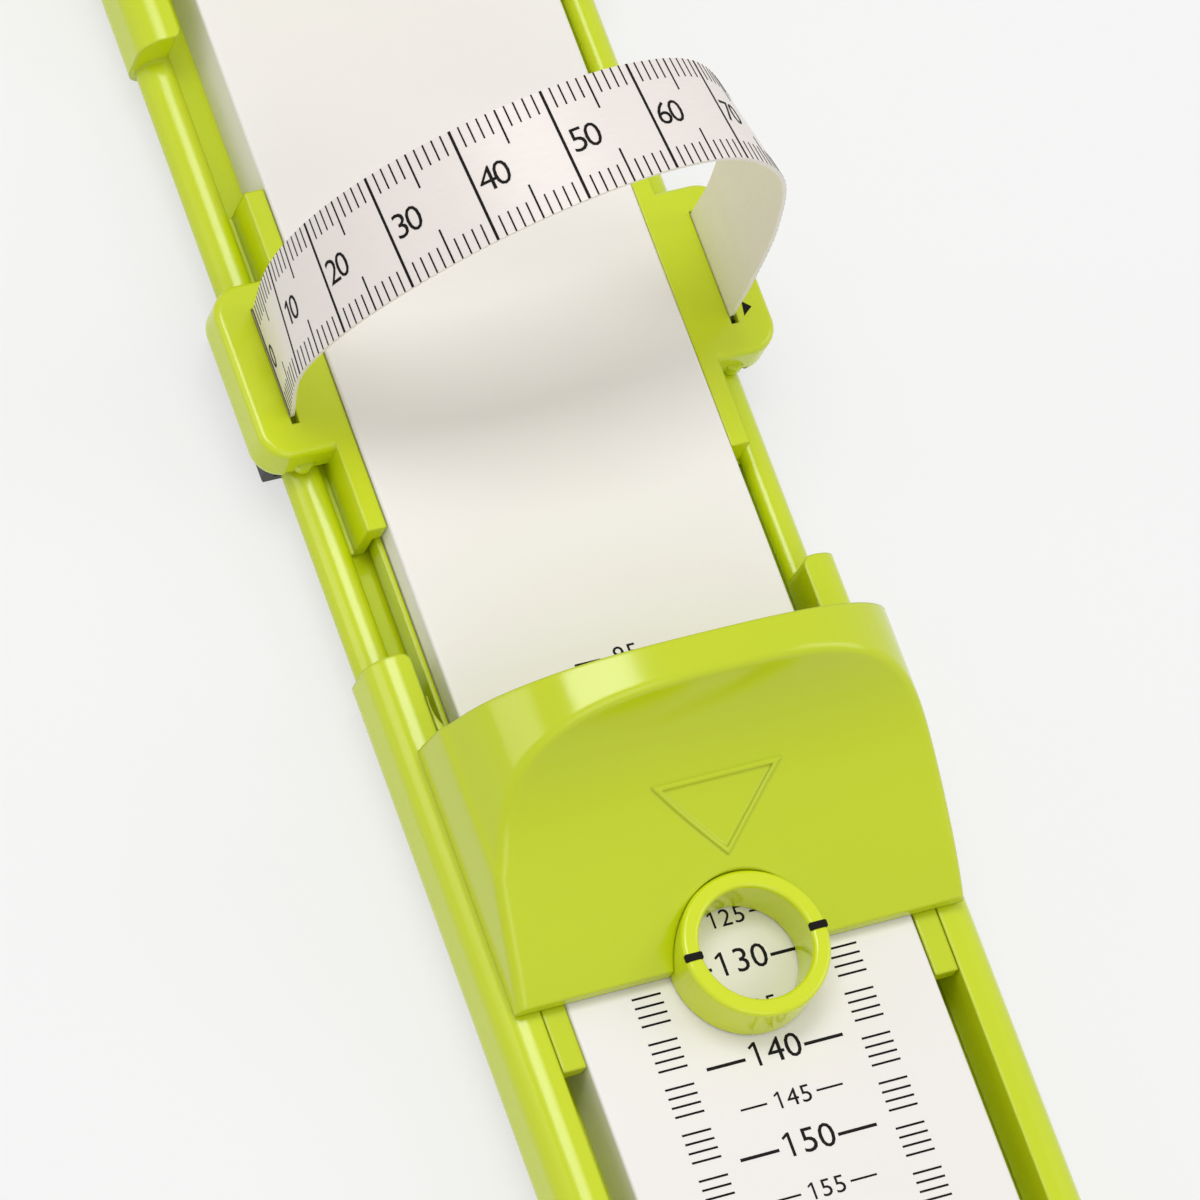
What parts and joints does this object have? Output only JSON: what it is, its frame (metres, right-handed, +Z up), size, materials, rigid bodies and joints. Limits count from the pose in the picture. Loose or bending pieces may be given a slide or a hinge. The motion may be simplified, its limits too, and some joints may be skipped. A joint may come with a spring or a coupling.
{
  "type": "foot measuring gauge",
  "caption": "Child foot gauge with a heel cup, a sliding toe stop with a sight ring, a printed scale and a tape loop on its own carriage.",
  "frame": {"origin": "on the table under the middle of the frame", "axes": "+Y along the frame to the heel cup, +X to the right seen from above with the heel at the top, +Z up"},
  "size_m": [0.0588, 0.2166, 0.0517],
  "materials": {
    "lime_frame": "moulded lime green, satin gloss",
    "lime_slider": "moulded lime green, satin gloss",
    "lime_shoe": "moulded lime green, satin gloss",
    "white_deck": "white gloss with a black printed scale",
    "tape_film": "white satin film, printed in black",
    "grey_bridge": "dark grey, fine texture",
    "foot_rubber": "black rubber",
    "drag_felt": "grey felt",
    "screw_steel": "zinc plated",
    "pin_steel": "bright steel"
  },
  "bodies": {
    "frame": {"base_frame": "lime_frame", "heel_cup": "lime_frame", "heel_cup_screws": "screw_steel", "deck_plate": "white_deck", "deck_screws": "screw_steel", "toe_cap": "lime_frame", "toe_cap_screws": "screw_steel", "rubber_feet": "foot_rubber"},
    "toe_stop": {"toe_slider": "lime_slider", "sight_ring": "lime_slider", "slider_guide_left": "lime_slider", "slider_guide_right": "lime_slider", "guide_screws": "screw_steel", "slider_drag_pads": "drag_felt"},
    "tape_carriage": {"tape_shoe_left": "lime_shoe", "tape_shoe_right": "lime_shoe", "tape_bridge": "grey_bridge", "bridge_cover": "grey_bridge", "cover_screws": "screw_steel", "bridge_drag_discs": "drag_felt", "tape_anchor_pin": "pin_steel", "tape_turn_pin": "pin_steel", "measuring_tape": "tape_film"},
    "tape_end": {"tape_tail": "tape_film", "pull_tab": "grey_bridge", "tab_rivets": "pin_steel"}
  },
  "joints": [
    {"name": "toe_slide", "type": "slide", "parent": "frame", "child": "toe_stop", "axis": [0, -1, 0], "range_m": [-0.035, 0.04]},
    {"name": "carriage_slide", "type": "slide", "parent": "frame", "child": "tape_carriage", "axis": [0, -1, 0], "range_m": [-0.028, 0.002]},
    {"name": "tape_pull", "type": "slide", "parent": "tape_carriage", "child": "tape_end", "axis": [-1, 0, 0], "range_m": [0, 0.04], "deforming": ["measuring_tape"]}
  ]
}
